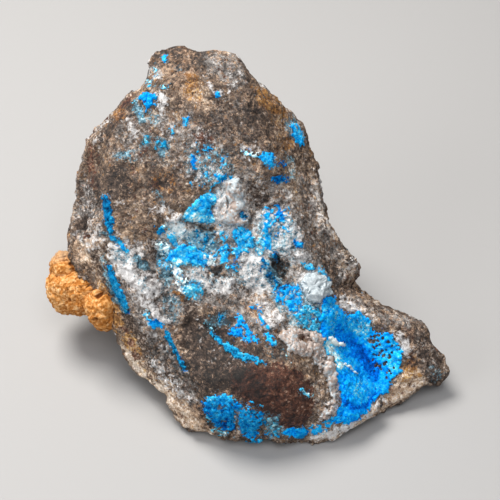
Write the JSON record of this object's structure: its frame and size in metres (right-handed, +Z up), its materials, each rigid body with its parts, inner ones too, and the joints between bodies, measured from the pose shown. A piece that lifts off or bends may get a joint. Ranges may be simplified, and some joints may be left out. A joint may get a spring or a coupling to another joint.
{
  "type": "cyanotrichite specimen",
  "caption": "Hand specimen of brown and white quartz-bearing rock with velvety blue needle crusts in a side hollow and over its leaning face, and an orange limonite lump.",
  "frame": {"origin": "on the flat resting face, straight below the middle of the show face", "axes": "+Z up, -Y towards the viewer of the show face, +X to the viewer's right, towards the blue pocket"},
  "size_m": [0.075, 0.057, 0.0514],
  "materials": {
    "rock": "rough broken rock, brown, grey and white",
    "limonite": "porous earthy ochre",
    "deep_blue": "velvety mat of fine needles, deep blue",
    "azure_blue": "velvety crust of fine needles, azure",
    "white_quartz": "sugary white quartz",
    "cream_quartz": "knobby cream quartz"
  },
  "bodies": {
    "root": {"matrix": "rock", "limonite_lump": "limonite", "cyanotrichite_pocket": "deep_blue", "cyanotrichite_foot": "deep_blue", "cyanotrichite_lens": "deep_blue", "cyanotrichite_streak": "azure_blue", "cyanotrichite_wedge": "azure_blue", "cyanotrichite_centre": "azure_blue", "cyanotrichite_cluster": "azure_blue", "cyanotrichite_left_vein_upper": "deep_blue", "cyanotrichite_left_vein_lower": "deep_blue", "cyanotrichite_crown": "deep_blue", "cyanotrichite_shoulder": "azure_blue", "quartz_knob": "white_quartz", "quartz_rim": "cream_quartz", "quartz_blade": "cream_quartz"}
  },
  "joints": []
}
